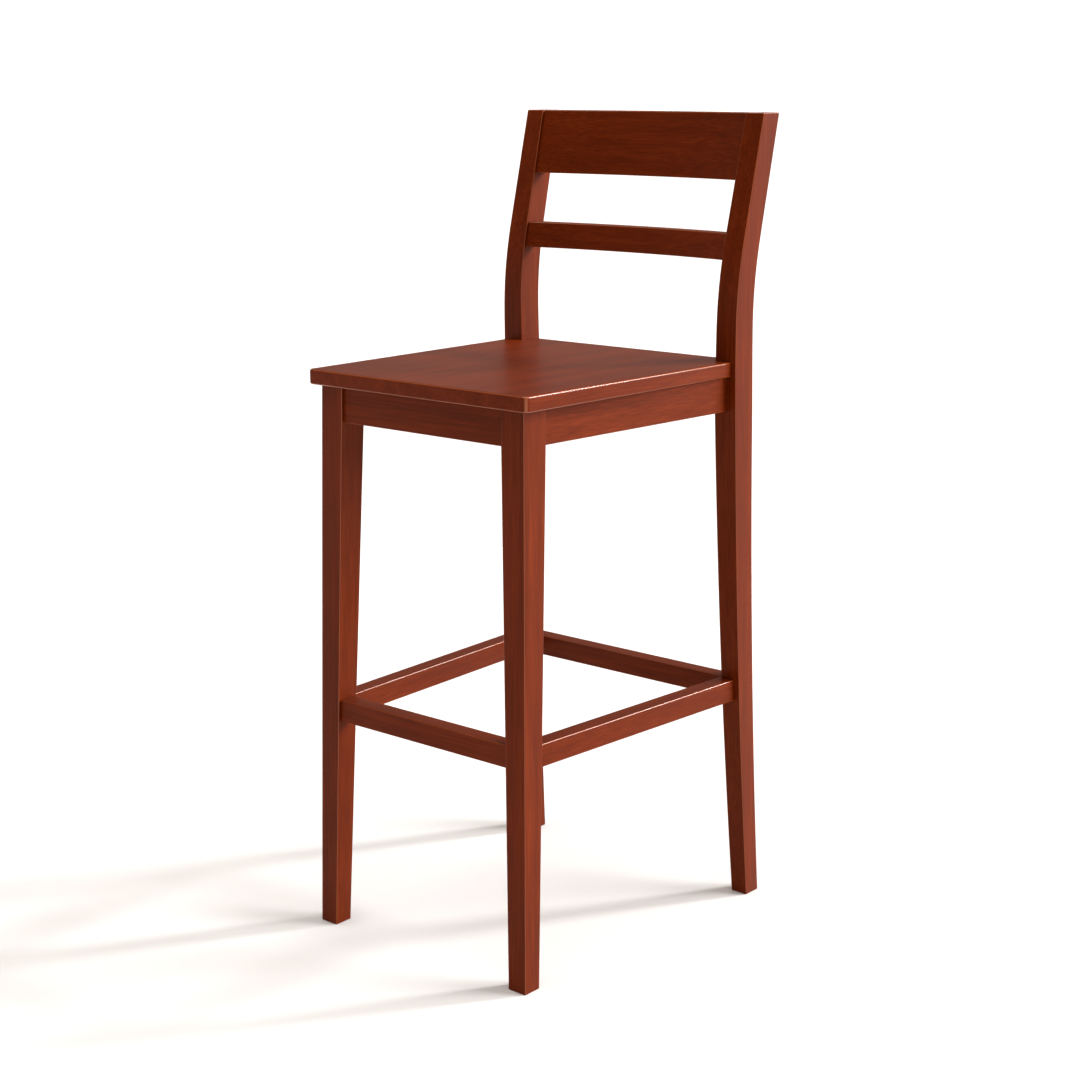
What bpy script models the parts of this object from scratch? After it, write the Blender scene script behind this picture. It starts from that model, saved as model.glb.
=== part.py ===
"""Bar stool with a footrest: a dowelled hardwood frame, a board seat and a raked two-rail back.

Metres, +Z up. The sitter faces -Y, and left is -X. Heights are measured from the floor, and
depths from the front face of the front legs at their tops. The whole stool hangs on one empty,
which puts the middle of its outline over the origin.
"""

import math

import bmesh
import bpy
import numpy as np
from mathutils import Matrix, Vector

# Overall sizes
SEAT_HEIGHT = 0.760
BACK_HEIGHT = 0.3215
SEAT_WIDTH = 0.392
FRAME_DEPTH = 0.3927
GAP = 0.0003

# Seat board: narrower at the front by the taper on each side
SEAT_THICKNESS = 0.020
SEAT_TAPER = 0.010
SEAT_OVERHANG = 0.0113
SEAT_BACK_INSET = 0.009
SEAT_CORNER = 0.007
SEAT_EASE = 0.003

# Front legs: they lean out towards the floor, and their inner faces taper below the apron
LEG_INSET = 0.0135
LEG_SPLAY_X = 0.0118
LEG_SPLAY_Y = 0.0123
LEG_TOP_WIDTH = 0.037
LEG_TOP_DEPTH = 0.0415
LEG_FOOT_WIDTH = 0.029
LEG_FOOT_DEPTH = 0.0275

# Back posts: how far they stand outside the seat, their sections, and the front face's slope
POST_FOOT_PROUD = 0.0145
POST_SEAT_PROUD = 0.007
POST_TOP_PROUD = 0.007
POST_FOOT_WIDTH = 0.026
POST_JOINT_WIDTH = 0.035
POST_SEAT_WIDTH = 0.0335
POST_TOP_WIDTH = 0.029
POST_FOOT_DEPTH = 0.028
POST_JOINT_DEPTH = 0.0395
POST_TOP_DEPTH = 0.036
POST_FOOT_SLOPE = -0.098
POST_BEND_SLOPE = -0.012
POST_RAKE_SLOPE = 0.242
POST_BEND_START = 0.040
POST_BEND_LENGTH = 0.120
POST_SECTION_STEP = 0.035
ARRIS = 0.0015

# Aprons under the seat
APRON_HEIGHT = 0.047
APRON_THICKNESS = 0.020
APRON_SETBACK = 0.004
APRON_POST_SETBACK = 0.014
BACK_APRON_SETBACK = 0.010

# Stretchers: the front one is the footrest
STRETCHER_TOP = 0.320
STRETCHER_HEIGHT = 0.030
STRETCHER_THICKNESS = 0.0245
FOOTREST_SETBACK = 0.004
STRETCHER_LEG_SETBACK = 0.0025
STRETCHER_POST_SETBACK = 0.0083
BACK_STRETCHER_SETBACK = 0.0035

# Back rails, bent so that the middle stands behind the ends
TOP_RAIL_HEIGHT = 0.087
SLAT_HEIGHT = 0.035
RAIL_SPACING = 0.068
RAIL_THICKNESS = 0.020
RAIL_SETBACK = 0.004
RAIL_SAG = 0.016
RAIL_STATIONS = 17

# Corner blocks in the apron frame
BLOCK_HEIGHT = 0.030
BLOCK_WIDTH = 0.022
BLOCK_SHORT_EDGE = 0.013
BLOCK_CLEARANCE = 0.003

# Dowels, and the tenons on the ends of the stretchers
DOWEL_RADIUS = 0.004
DOWEL_DEPTH = 0.014
SHORT_DOWEL_DEPTH = 0.010
APRON_DOWEL_PITCH = 0.024
SLAT_DOWEL_PITCH = 0.016
TOP_RAIL_DOWEL_PITCH = 0.048
TENON_LENGTH = 0.009
TENON_THICKNESS = 0.008
TENON_HEIGHT = 0.020
HOLE_SPARE = 0.001

# Screws
SCREW_RADIUS = 0.002
SCREW_HEAD_RADIUS = 0.004
SCREW_HEAD_HEIGHT = 0.0028
SCREW_POINT = 0.005
SCREW_BITE = 0.012
SCREW_SEAT = 0.009
SEAT_SCREW_RECESS = 0.012
COUNTERBORE_RADIUS = 0.0048

ROUND_SIDES = 12
SIDES = (("left", -1.0), ("right", 1.0))
ALONG_X = Vector((1.0, 0.0, 0.0))
ALONG_Y = Vector((0.0, 1.0, 0.0))
UP = Vector((0.0, 0.0, 1.0))

# Sizes that follow from those above
SEAT_BACK_HALF = SEAT_WIDTH / 2.0
SEAT_FRONT_HALF = SEAT_BACK_HALF - SEAT_TAPER
TOTAL_HEIGHT = SEAT_HEIGHT + BACK_HEIGHT
SEAT_UNDERSIDE = SEAT_HEIGHT - SEAT_THICKNESS
FRAME_TOP = SEAT_UNDERSIDE - GAP
APRON_BOTTOM = SEAT_UNDERSIDE - APRON_HEIGHT
APRON_MIDDLE = (APRON_BOTTOM + FRAME_TOP) / 2.0
STRETCHER_BOTTOM = STRETCHER_TOP - STRETCHER_HEIGHT
STRETCHER_MIDDLE = (STRETCHER_BOTTOM + STRETCHER_TOP) / 2.0
TOP_RAIL_BOTTOM = TOTAL_HEIGHT - TOP_RAIL_HEIGHT
SLAT_TOP = TOP_RAIL_BOTTOM - RAIL_SPACING
SLAT_BOTTOM = SLAT_TOP - SLAT_HEIGHT
BLOCK_SCREW_LENGTH = SCREW_SEAT + SCREW_BITE
SEAT_SCREW_LENGTH = BLOCK_HEIGHT - SEAT_SCREW_RECESS + SCREW_BITE


# ---------------------------------------------------------------- lines of the frame

def leg_outer_x(z):
    """Outer face of a front leg, which leans out towards the floor."""
    return SEAT_FRONT_HALF - LEG_INSET + LEG_SPLAY_X * (1.0 - z / SEAT_UNDERSIDE)


def leg_front_y(z):
    """Front face of a front leg, which leans forward towards the floor."""
    return -LEG_SPLAY_Y * (1.0 - z / SEAT_UNDERSIDE)


def leg_inner_x(z):
    """Inner face of a front leg: the full width behind the apron, tapered below it."""
    width = np.interp(z, (0.0, APRON_BOTTOM), (LEG_FOOT_WIDTH, LEG_TOP_WIDTH))
    return leg_outer_x(z) - width


def leg_back_y(z):
    depth = np.interp(z, (0.0, APRON_BOTTOM), (LEG_FOOT_DEPTH, LEG_TOP_DEPTH))
    return leg_front_y(z) + depth


def post_curve_y(z):
    """Front face of a back post, from its slope: a long sweep, a short bend, then the rake."""
    bend_start = SEAT_HEIGHT + POST_BEND_START
    heights = np.array((0.0, bend_start, bend_start + POST_BEND_LENGTH, TOTAL_HEIGHT))
    slopes = np.array((POST_FOOT_SLOPE, POST_BEND_SLOPE, POST_RAKE_SLOPE, POST_RAKE_SLOPE))

    def rise(height):
        levels = np.append(heights[heights < height], height)
        level_slopes = np.interp(levels, heights, slopes)
        return np.sum(np.diff(levels) * (level_slopes[:-1] + level_slopes[1:])) / 2.0

    return FRAME_DEPTH + rise(z) - rise(SEAT_HEIGHT)


def post_levels():
    """Heights of a post's sections; each stretch that carries a joint stays straight."""
    margin = GAP * 10.0
    joints = (
        (STRETCHER_BOTTOM - margin, STRETCHER_TOP + margin),
        (APRON_BOTTOM, SEAT_HEIGHT + margin),
        (SLAT_BOTTOM - margin, SLAT_TOP + margin),
        (TOP_RAIL_BOTTOM - margin, TOTAL_HEIGHT),
    )
    levels = [TOTAL_HEIGHT]
    start = 0.0
    for low, high in joints:
        steps = max(1, round((low - start) / POST_SECTION_STEP))
        levels.extend(np.linspace(start, low, steps + 1))
        start = high
    return sorted(levels)


POST_LEVELS = post_levels()
POST_LEVEL_Y = [post_curve_y(level) for level in POST_LEVELS]


def post_front_y(z):
    return np.interp(z, POST_LEVELS, POST_LEVEL_Y)


def post_back_y(z):
    heights = (0.0, APRON_BOTTOM, SEAT_HEIGHT, TOTAL_HEIGHT)
    depths = (POST_FOOT_DEPTH, POST_JOINT_DEPTH, POST_JOINT_DEPTH, POST_TOP_DEPTH)
    return post_front_y(z) + np.interp(z, heights, depths)


def post_outer_x(z):
    heights = (0.0, SEAT_HEIGHT, TOTAL_HEIGHT)
    return SEAT_BACK_HALF + np.interp(
        z, heights, (POST_FOOT_PROUD, POST_SEAT_PROUD, POST_TOP_PROUD))


def post_inner_x(z):
    heights = (0.0, APRON_BOTTOM, SEAT_HEIGHT, TOTAL_HEIGHT)
    widths = (POST_FOOT_WIDTH, POST_JOINT_WIDTH, POST_SEAT_WIDTH, POST_TOP_WIDTH)
    return post_outer_x(z) - np.interp(z, heights, widths)


def apron_leg_x(z):
    """Outer face of a side apron where it meets the front leg."""
    return leg_outer_x(z) - APRON_SETBACK


def apron_post_x(z):
    """Outer face of a side apron where it meets the back post."""
    return post_outer_x(z) - APRON_POST_SETBACK


def stretcher_leg_x(z):
    return leg_outer_x(z) - STRETCHER_LEG_SETBACK


def stretcher_post_x(z):
    return post_outer_x(z) - STRETCHER_POST_SETBACK


def front_apron_y(z):
    return leg_front_y(z) + APRON_SETBACK


def back_apron_y(z):
    return post_front_y(z) + BACK_APRON_SETBACK


def footrest_y(z):
    return leg_front_y(z) + FOOTREST_SETBACK


def back_stretcher_y(z):
    return post_front_y(z) + BACK_STRETCHER_SETBACK


def back_rail_y(z):
    return post_front_y(z) + RAIL_SETBACK


def side_apron_inner_x(y):
    """Inner face of a side apron at a depth, where it leans furthest into the frame."""
    levels = (APRON_BOTTOM, FRAME_TOP)
    outer = min(
        np.interp(y, (leg_back_y(z), post_front_y(z)), (apron_leg_x(z), apron_post_x(z)))
        for z in levels)
    return outer - APRON_THICKNESS


# ---------------------------------------------------------------- scene and materials

def clear_scene():
    for old in list(bpy.data.objects):
        bpy.data.objects.remove(old, do_unlink=True)


def principled(name, colour, roughness, metallic=0.0):
    material = bpy.data.materials.new(name)
    material.use_nodes = True
    shader = material.node_tree.nodes["Principled BSDF"]
    shader.inputs["Base Color"].default_value = (*colour, 1.0)
    shader.inputs["Roughness"].default_value = roughness
    shader.inputs["Metallic"].default_value = metallic
    return material


def stained_wood():
    return principled("stained_wood", (0.130, 0.026, 0.009), 0.35)


def bare_wood():
    return principled("bare_wood", (0.540, 0.360, 0.190), 0.60)


def zinc_steel():
    return principled("zinc_steel", (0.560, 0.560, 0.540), 0.35, 1.0)


def stool_root():
    """Empty that carries the stool, placed so that the outline's middle is over the origin."""
    rail_back = back_rail_y(TOTAL_HEIGHT) + RAIL_SAG + RAIL_THICKNESS
    foremost = min(-SEAT_OVERHANG, leg_front_y(0.0))
    rearmost = max(rail_back, *(post_back_y(z) for z in POST_LEVELS))
    root = bpy.data.objects.new("stool", None)
    root.location = (0.0, -(foremost + rearmost) / 2.0, 0.0)
    bpy.context.scene.collection.objects.link(root)
    return root


# ---------------------------------------------------------------- mesh building

def add_object(name, data, root, material=None):
    """Closes a bmesh into a named object under the root, with its faces pointing out."""
    bmesh.ops.recalc_face_normals(data, faces=data.faces)
    mesh = bpy.data.meshes.new(name)
    data.to_mesh(mesh)
    data.free()
    if material:
        mesh.materials.append(material)
    result = bpy.data.objects.new(name, mesh)
    result.parent = root
    bpy.context.scene.collection.objects.link(result)
    return result


def add_round_object(name, data, root, material):
    result = add_object(name, data, root, material)
    result.data.shade_smooth()
    result.data.set_sharp_from_angle(angle=math.radians(40.0))


def skin(sections, ease_ends=False):
    """Closed tube through loops of corners; its long edges are marked for easing."""
    data = bmesh.new()
    weight = data.edges.layers.float.new("bevel_weight_edge")
    loops = [[data.verts.new(corner) for corner in section] for section in sections]
    count = len(loops[0])
    for low, high in zip(loops, loops[1:]):
        for i in range(count):
            data.faces.new((low[i], low[(i + 1) % count], high[(i + 1) % count], high[i]))
    for loop in (loops[0], loops[-1]):
        cap = data.faces.new(loop)
        for edge in cap.edges:
            edge[weight] = float(ease_ends)
    for low, high in zip(loops, loops[1:]):
        for start, end in zip(low, high):
            data.edges.get((start, end))[weight] = 1.0
    return data


def ease(piece, width):
    """Rounds the marked edges of a piece, as a router or sandpaper leaves them."""
    bevel = piece.modifiers.new("ease", "BEVEL")
    bevel.width = width
    bevel.segments = 2
    bevel.limit_method = "WEIGHT"


def add_turned(data, centre, direction, profile):
    """Adds a closed turned shape: its profile holds a radius and a place along the axis."""
    turn = direction.to_track_quat("Z", "Y").to_matrix().to_4x4()
    frame = Matrix.Translation(centre) @ turn
    rings = []
    for radius, along in profile:
        ring = []
        for i in range(ROUND_SIDES):
            angle = 2.0 * math.pi * i / ROUND_SIDES
            point = Vector((radius * math.cos(angle), radius * math.sin(angle), along))
            ring.append(data.verts.new(frame @ point))
        rings.append(ring)
    for low, high in zip(rings, rings[1:]):
        for i in range(ROUND_SIDES):
            j = (i + 1) % ROUND_SIDES
            data.faces.new((low[i], low[j], high[j], high[i]))
    data.faces.new(rings[0])
    data.faces.new(rings[-1])


def combine(piece, suffix, operation, shapes, root):
    """Cuts shapes from a piece, or joins them to it; each shape adds itself to a mesh."""
    data = bmesh.new()
    for shape in shapes:
        shape(data)
    tool = add_object(piece.name + suffix, data, root)
    tool.hide_render = True
    tool.display_type = "WIRE"
    boolean = piece.modifiers.new(operation.lower(), "BOOLEAN")
    boolean.operation = operation
    boolean.solver = "EXACT"
    boolean.object = tool


# ---------------------------------------------------------------- joints

class Dowel:
    """Round peg centred on a joint, half of it in each of the two pieces."""

    separate = True

    def __init__(self, centre, direction, depth=DOWEL_DEPTH):
        self.centre = Vector(centre)
        self.direction = direction
        self.depth = depth

    def solid(self, data, clearance=0.0, spare=0.0):
        half = self.depth + spare
        radius = DOWEL_RADIUS + clearance
        add_turned(data, self.centre, self.direction, ((radius, -half), (radius, half)))

    def socket(self, data):
        self.solid(data, GAP, HOLE_SPARE)


class Tenon:
    """Rectangular tongue centred on a joint, in one piece with the stretcher that ends there."""

    separate = False

    def __init__(self, centre, direction):
        self.centre = Vector(centre)
        self.direction = direction

    def solid(self, data, clearance=0.0, spare=0.0):
        across = Vector((1.0, 1.0, 0.0)) - self.direction
        size = self.direction * (TENON_LENGTH + spare) * 2.0
        size += across * (TENON_THICKNESS + clearance * 2.0)
        size += UP * (TENON_HEIGHT + clearance * 2.0)
        matrix = Matrix.Translation(self.centre) @ Matrix.Diagonal((*size, 1.0))
        bmesh.ops.create_cube(data, size=1.0, matrix=matrix)

    def socket(self, data):
        self.solid(data, GAP, GAP)


def pitched(middle, pitch):
    return (middle - pitch / 2.0, middle + pitch / 2.0)


def joints_of_side(sign):
    """The fixings of one side of the stool, by the upright and the member that they join."""
    apron_half = APRON_THICKNESS / 2.0
    stretcher_half = STRETCHER_THICKNESS / 2.0
    rail_half = RAIL_THICKNESS / 2.0
    apron = pitched(APRON_MIDDLE, APRON_DOWEL_PITCH)
    top_rail = pitched((TOP_RAIL_BOTTOM + TOTAL_HEIGHT) / 2.0, TOP_RAIL_DOWEL_PITCH)
    slat = pitched((SLAT_BOTTOM + SLAT_TOP) / 2.0, SLAT_DOWEL_PITCH)
    z = STRETCHER_MIDDLE
    return {
        ("front_leg", "front_apron"): [
            Dowel((sign * leg_inner_x(h), front_apron_y(h) + apron_half, h), ALONG_X)
            for h in apron],
        ("back_post", "back_apron"): [
            Dowel((sign * post_inner_x(h), back_apron_y(h) + apron_half, h), ALONG_X)
            for h in apron],
        ("front_leg", "side_apron"): [
            Dowel((sign * (apron_leg_x(h) - apron_half), leg_back_y(h), h), ALONG_Y)
            for h in apron],
        ("back_post", "side_apron"): [
            Dowel((sign * (apron_post_x(h) - apron_half), post_front_y(h), h), ALONG_Y,
                  SHORT_DOWEL_DEPTH)
            for h in apron],
        ("back_post", "top_rail"): [
            Dowel((sign * post_inner_x(h), back_rail_y(h) + rail_half, h), ALONG_X)
            for h in top_rail],
        ("back_post", "back_slat"): [
            Dowel((sign * post_inner_x(h), back_rail_y(h) + rail_half, h), ALONG_X)
            for h in slat],
        ("front_leg", "footrest"): [
            Tenon((sign * leg_inner_x(z), footrest_y(z) + stretcher_half, z), ALONG_X)],
        ("back_post", "back_stretcher"): [
            Tenon((sign * post_inner_x(z), back_stretcher_y(z) + stretcher_half, z), ALONG_X)],
        ("front_leg", "side_stretcher"): [
            Tenon((sign * (stretcher_leg_x(z) - stretcher_half), leg_back_y(z), z), ALONG_Y)],
        ("back_post", "side_stretcher"): [
            Tenon((sign * (stretcher_post_x(z) - stretcher_half), post_front_y(z), z),
                  ALONG_Y)],
    }


JOINTS = {side: joints_of_side(sign) for side, sign in SIDES}


def upright_sockets(upright, side):
    """Holes and mortises in an upright."""
    return [fixing.socket for names, fixings in JOINTS[side].items()
            if names[0] == upright for fixing in fixings]


def member_fixings(member, sides, separate):
    """Dowels, or tenons, at the ends of a cross or side member."""
    return [fixing for side in sides for names, fixings in JOINTS[side].items()
            if names[1] == member for fixing in fixings if fixing.separate == separate]


def fit_member(piece, member, sides, extra_holes, root):
    """Gives a member the holes for its dowels and screws, and its tenons if it has any."""
    holes = [dowel.socket for dowel in member_fixings(member, sides, True)] + extra_holes
    tenons = [tenon.solid for tenon in member_fixings(member, sides, False)]
    if holes:
        combine(piece, "_holes", "DIFFERENCE", holes, root)
    if tenons:
        combine(piece, "_tenons", "UNION", tenons, root)


def all_dowels(root, material):
    for side, _ in SIDES:
        for (upright, member), fixings in JOINTS[side].items():
            dowels = [fixing for fixing in fixings if fixing.separate]
            for level, dowel in zip(("lower", "upper"), dowels):
                data = bmesh.new()
                dowel.solid(data)
                end = upright.split("_")[1]
                name = f"{member}_{end}_dowel_{side}_{level}"
                add_round_object(name, data, root, material)


# ---------------------------------------------------------------- uprights

def square_section(sign, outer, inner, front, back, z):
    return [(sign * x, y, z)
            for x, y in ((outer, front), (inner, front), (inner, back), (outer, back))]


def front_leg(side, sign, root, material):
    """Square leg, straight on its outer faces and tapered on its inner ones."""
    sections = [
        square_section(sign, leg_outer_x(z), leg_inner_x(z), leg_front_y(z), leg_back_y(z), z)
        for z in (0.0, APRON_BOTTOM, FRAME_TOP)]
    leg = add_object("front_leg_" + side, skin(sections, True), root, material)
    ease(leg, ARRIS)
    combine(leg, "_holes", "DIFFERENCE", upright_sockets("front_leg", side), root)


def back_post(side, sign, root, material):
    """Rear leg and back upright sawn in one piece, swept to the foot and raked at the top."""
    sections = [
        square_section(sign, post_outer_x(z), post_inner_x(z), post_front_y(z), post_back_y(z),
                       z)
        for z in POST_LEVELS]
    post = add_object("back_post_" + side, skin(sections, True), root, material)
    ease(post, ARRIS)
    combine(post, "_holes", "DIFFERENCE", upright_sockets("back_post", side), root)


# ---------------------------------------------------------------- aprons, stretchers, rails

def cross_member(name, heights, end_x, front_y, size, bow, screw_holes, root, material):
    """Bar along X between two uprights' inner faces; its middle may bow towards the back."""
    low, high = heights
    thickness, stations = size
    sections = []
    for share in np.linspace(-1.0, 1.0, stations):
        back = bow * (1.0 - share * share)
        sections.append([
            (share * (end_x(z) - GAP), front_y(z) + back + across, z)
            for z, across in ((low, 0.0), (low, thickness), (high, thickness), (high, 0.0))])
    bar = add_object(name, skin(sections), root, material)
    ease(bar, ARRIS)
    fit_member(bar, name, ("left", "right"), screw_holes, root)


def side_member(member, side, sign, heights, leg_x, post_x, thickness, screw_holes, root,
                material):
    """Straight bar from a front leg's back face to a back post's front face."""
    low, high = heights
    ends = (
        (leg_x, lambda z: leg_back_y(z) + GAP),
        (post_x, lambda z: post_front_y(z) - GAP),
    )
    sections = []
    for outer_x, end_y in ends:
        sections.append([
            (sign * (outer_x(z) - across), end_y(z), z)
            for z, across in ((low, 0.0), (low, thickness), (high, thickness), (high, 0.0))])
    bar = add_object(f"{member}_{side}", skin(sections), root, material)
    ease(bar, ARRIS)
    fit_member(bar, member, (side,), screw_holes, root)


# ---------------------------------------------------------------- corner blocks and screws

class Screw:
    """Pan head screw: where its head rests, the way that it drives, and its length."""

    def __init__(self, name, seat, direction, length):
        self.name = name
        self.seat = Vector(seat)
        self.direction = direction
        self.length = length

    def solid(self, data):
        head = SCREW_HEAD_RADIUS
        profile = (
            (head * 0.55, -SCREW_HEAD_HEIGHT),
            (head * 0.90, -SCREW_HEAD_HEIGHT * 0.75),
            (head, -SCREW_HEAD_HEIGHT * 0.40),
            (head, 0.0),
            (SCREW_RADIUS, 0.0),
            (SCREW_RADIUS, self.length - SCREW_POINT),
            (SCREW_RADIUS * 0.15, self.length),
        )
        add_turned(data, self.seat, self.direction, profile)

    def pilot(self, data):
        """Hole for the shank, in the piece that the screw bites into."""
        radius = SCREW_RADIUS + GAP
        end = self.length + HOLE_SPARE
        add_turned(data, self.seat, self.direction, ((radius, 0.0), (radius, end)))

    def counterbored(self, data):
        """Hole for the shank and a wide one for the head, in the piece that is held."""
        radius = SCREW_RADIUS + GAP
        profile = (
            (COUNTERBORE_RADIUS, -BLOCK_HEIGHT),
            (COUNTERBORE_RADIUS, GAP),
            (radius, GAP),
            (radius, self.length),
        )
        add_turned(data, self.seat, self.direction, profile)


class Block:
    """Diagonal brace between a cross apron and a side apron, clear of the upright's corner."""

    def __init__(self, place, side, sign, rail_face, into_frame, upright_corner):
        self.place = place
        self.side = side
        self.sign = sign
        self.rail_face = rail_face
        self.into_frame = into_frame
        corner_x, corner_y = upright_corner
        reach = (corner_y - rail_face) * into_frame + BLOCK_CLEARANCE * math.sqrt(2.0)
        self.outer_x = min(corner_x - reach, side_apron_inner_x(rail_face) - BLOCK_SHORT_EDGE)
        self.inner_x = self.outer_x - BLOCK_WIDTH * math.sqrt(2.0)
        self.bottom = FRAME_TOP - BLOCK_HEIGHT
        self.middle = FRAME_TOP - BLOCK_HEIGHT / 2.0

    def on_side_apron(self, start_x):
        """Where a diagonal from a point on the cross apron reaches the side apron."""
        near_x = side_apron_inner_x(self.rail_face)
        far_y = self.rail_face + self.into_frame * (near_x - start_x)
        slope = (side_apron_inner_x(far_y) - near_x) / (far_y - self.rail_face)
        run = (near_x - GAP - start_x) / (1.0 - slope * self.into_frame)
        return start_x + run, self.rail_face + self.into_frame * run

    def plan(self):
        return ((self.outer_x, self.rail_face), self.on_side_apron(self.outer_x),
                self.on_side_apron(self.inner_x), (self.inner_x, self.rail_face))

    def cross_screw(self):
        x = self.sign * (self.outer_x + self.inner_x) / 2.0
        y = self.rail_face + self.into_frame * SCREW_SEAT
        name = f"block_cross_screw_{self.place}_{self.side}"
        return Screw(name, (x, y, self.middle), ALONG_Y * -self.into_frame, BLOCK_SCREW_LENGTH)

    def side_screw(self):
        ends = self.plan()[1:3]
        y = (ends[0][1] + ends[1][1]) / 2.0
        x = self.sign * (side_apron_inner_x(y) - GAP - SCREW_SEAT)
        name = f"block_side_screw_{self.place}_{self.side}"
        return Screw(name, (x, y, self.middle), ALONG_X * self.sign, BLOCK_SCREW_LENGTH)

    def seat_screw(self):
        corners = self.plan()
        x = self.sign * sum(corner[0] for corner in corners) / len(corners)
        y = sum(corner[1] for corner in corners) / len(corners)
        name = f"seat_screw_{self.place}_{self.side}"
        return Screw(name, (x, y, self.bottom + SEAT_SCREW_RECESS), UP, SEAT_SCREW_LENGTH)

    def screws(self):
        return self.cross_screw(), self.side_screw(), self.seat_screw()


def all_blocks():
    front_face = front_apron_y(FRAME_TOP) + APRON_THICKNESS + GAP
    back_face = back_apron_y(FRAME_TOP) - GAP
    leg_corner = (leg_inner_x(FRAME_TOP), leg_back_y(FRAME_TOP))
    post_corner = (post_inner_x(APRON_BOTTOM), post_front_y(FRAME_TOP))
    blocks = []
    for side, sign in SIDES:
        blocks.append(Block("front", side, sign, front_face, 1.0, leg_corner))
        blocks.append(Block("back", side, sign, back_face, -1.0, post_corner))
    return blocks


BLOCKS = all_blocks()


def corner_block(block, root, material):
    sections = [[(block.sign * x, y, z) for x, y in block.plan()]
                for z in (block.bottom, FRAME_TOP)]
    name = f"corner_block_{block.place}_{block.side}"
    piece = add_object(name, skin(sections), root, material)
    combine(piece, "_holes", "DIFFERENCE",
            [screw.counterbored for screw in block.screws()], root)


def cross_pilots(place):
    return [block.cross_screw().pilot for block in BLOCKS if block.place == place]


def side_pilots(side):
    return [block.side_screw().pilot for block in BLOCKS if block.side == side]


def all_screws(root, material):
    for block in BLOCKS:
        for screw in block.screws():
            data = bmesh.new()
            screw.solid(data)
            add_round_object(screw.name, data, root, material)


# ---------------------------------------------------------------- seat

def seat_half_outline():
    """Right half of the seat's plan, from its front corner round to the back edge."""
    notch_y = post_front_y(SEAT_HEIGHT) - GAP
    notch_x = min(post_inner_x(SEAT_HEIGHT), post_inner_x(SEAT_UNDERSIDE)) - GAP
    back_y = post_back_y(SEAT_HEIGHT) - SEAT_BACK_INSET
    centre_x = SEAT_FRONT_HALF - SEAT_CORNER
    centre_y = SEAT_CORNER - SEAT_OVERHANG
    points = []
    for angle in np.linspace(-math.pi / 2.0, 0.0, 5):
        points.append((centre_x + SEAT_CORNER * math.cos(angle),
                       centre_y + SEAT_CORNER * math.sin(angle)))
    points.append((SEAT_BACK_HALF, notch_y))
    points.append((notch_x, notch_y))
    points.append((notch_x, back_y))
    return points


def seat_panel(root, material):
    """Solid board, notched round the back posts, with eased arrises."""
    right = seat_half_outline()
    outline = right + [(-x, y) for x, y in reversed(right)]
    data = skin([[(x, y, z) for x, y in outline] for z in (SEAT_UNDERSIDE, SEAT_HEIGHT)])
    weight = data.edges.layers.float["bevel_weight_edge"]
    for edge in data.edges:
        low, high = edge.verts
        edge[weight] = float(abs(low.co.z - high.co.z) < GAP)
    seat = add_object("seat_panel", data, root, material)
    ease(seat, SEAT_EASE)
    combine(seat, "_holes", "DIFFERENCE", [block.seat_screw().pilot for block in BLOCKS], root)


# ---------------------------------------------------------------- assembly

def build():
    clear_scene()
    root = stool_root()
    wood = stained_wood()
    raw = bare_wood()
    apron = (APRON_BOTTOM, FRAME_TOP)
    stretcher = (STRETCHER_BOTTOM, STRETCHER_TOP)
    apron_size = (APRON_THICKNESS, 2)
    stretcher_size = (STRETCHER_THICKNESS, 2)
    rail_size = (RAIL_THICKNESS, RAIL_STATIONS)

    seat_panel(root, wood)
    for side, sign in SIDES:
        front_leg(side, sign, root, wood)
        back_post(side, sign, root, wood)
        side_member("side_apron", side, sign, apron, apron_leg_x, apron_post_x,
                    APRON_THICKNESS, side_pilots(side), root, wood)
        side_member("side_stretcher", side, sign, stretcher, stretcher_leg_x,
                    stretcher_post_x, STRETCHER_THICKNESS, [], root, wood)
    cross_member("front_apron", apron, leg_inner_x, front_apron_y, apron_size, 0.0,
                 cross_pilots("front"), root, wood)
    cross_member("back_apron", apron, post_inner_x, back_apron_y, apron_size, 0.0,
                 cross_pilots("back"), root, wood)
    cross_member("footrest", stretcher, leg_inner_x, footrest_y, stretcher_size, 0.0, [],
                 root, wood)
    cross_member("back_stretcher", stretcher, post_inner_x, back_stretcher_y,
                 stretcher_size, 0.0, [], root, wood)
    cross_member("top_rail", (TOP_RAIL_BOTTOM, TOTAL_HEIGHT), post_inner_x, back_rail_y,
                 rail_size, RAIL_SAG, [], root, wood)
    cross_member("back_slat", (SLAT_BOTTOM, SLAT_TOP), post_inner_x, back_rail_y,
                 rail_size, RAIL_SAG, [], root, wood)
    for block in BLOCKS:
        corner_block(block, root, raw)
    all_dowels(root, raw)
    all_screws(root, zinc_steel())


build()
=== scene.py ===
import math

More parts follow.
